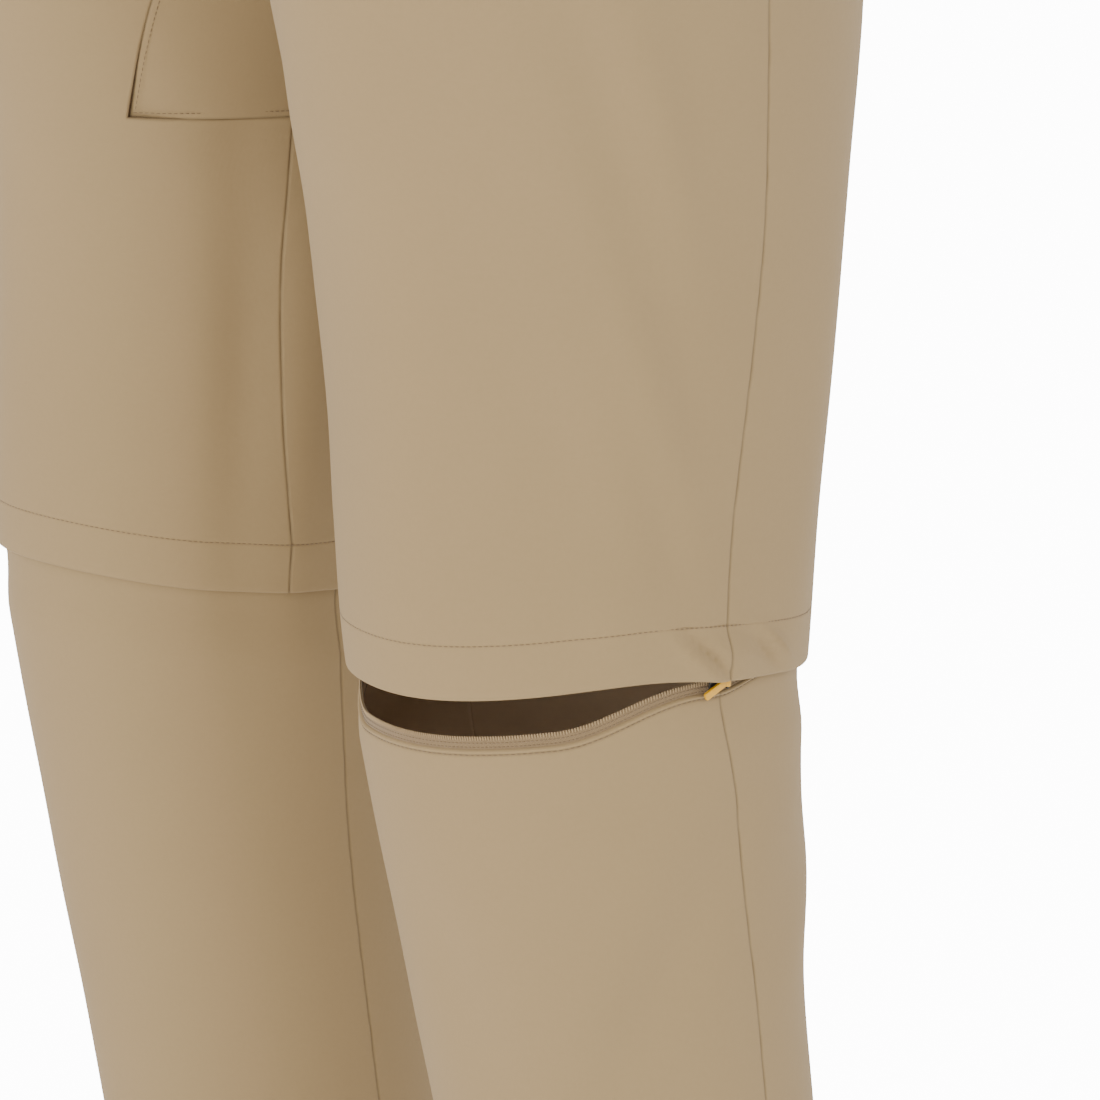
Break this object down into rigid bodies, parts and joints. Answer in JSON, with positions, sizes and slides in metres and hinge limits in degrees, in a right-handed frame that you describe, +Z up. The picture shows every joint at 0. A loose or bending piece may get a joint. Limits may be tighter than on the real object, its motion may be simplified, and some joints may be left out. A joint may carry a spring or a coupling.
{
  "type": "zip-off trousers",
  "caption": "Zip-off trousers hanging filled out from the waist, with the left knee zip open round the front and its pull tab on a hinge.",
  "frame": {"origin": "centre of the waist opening, half way up the waistband", "axes": "+Z up, the front faces -Y, the wearer's left leg is at +X"},
  "size_m": [0.3894, 0.2517, 1.0201],
  "materials": {
    "cloth": "smooth matt stretch weave",
    "zip_tape": "fine ribbed tape",
    "button": "satin",
    "slider": "dark satin",
    "pull_tab": "satin yellow"
  },
  "bodies": {
    "trousers": {"waistband": "cloth", "fly_flap": "cloth", "crotch_gusset": "cloth", "left_shorts_front": "cloth", "left_shorts_back": "cloth", "right_shorts_front": "cloth", "right_shorts_back": "cloth", "left_knee_band": "cloth", "right_knee_band": "cloth", "left_upper_zip_tape": "zip_tape", "left_lower_zip_tape": "zip_tape", "right_knee_zip": "zip_tape", "left_lower_front": "cloth", "left_lower_back": "cloth", "right_lower_front": "cloth", "right_lower_back": "cloth", "left_ankle_band": "cloth", "right_ankle_band": "cloth", "waist_button": "button", "left_zip_slider": "slider"},
    "pull_tab": {"left_pull_tab": "pull_tab"}
  },
  "joints": [
    {"name": "tab_swing", "type": "hinge", "parent": "trousers", "child": "pull_tab", "pos_m": [0.19141, 0.01269, -0.51312], "axis": [0.0908, 0.0148, 0.9958], "range_deg": [0, 120]}
  ]
}
